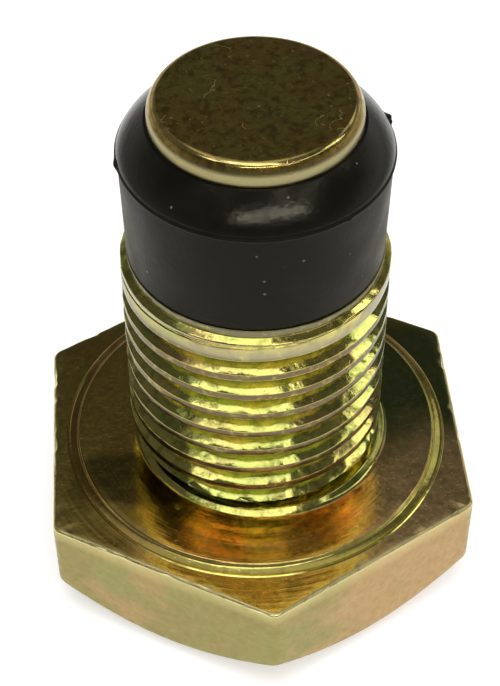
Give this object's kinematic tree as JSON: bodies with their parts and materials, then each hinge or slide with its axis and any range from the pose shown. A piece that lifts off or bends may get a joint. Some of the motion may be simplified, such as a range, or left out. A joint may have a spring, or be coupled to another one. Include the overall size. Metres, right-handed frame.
{
  "type": "oil drain plug",
  "caption": "Hexagon-head oil drain plug: raised washer face, relief neck, fine external thread, and a black rubber seal held on the tip by a round metal cap.",
  "frame": {"origin": "centre of the head's outer face, on which the plug stands", "axes": "+Z along the shank from the head to the capped tip; the hexagon's flats face +X, -X and 60 degree steps between"},
  "size_m": [0.0206, 0.0236, 0.0274],
  "materials": {
    "yellow_zinc_steel": "yellow chromate over zinc, satin metallic with a faint green and pink shimmer",
    "seal_rubber": "matt moulded black rubber"
  },
  "bodies": {
    "root": {"plug_body": "yellow_zinc_steel", "rubber_seal": "seal_rubber"}
  },
  "joints": []
}
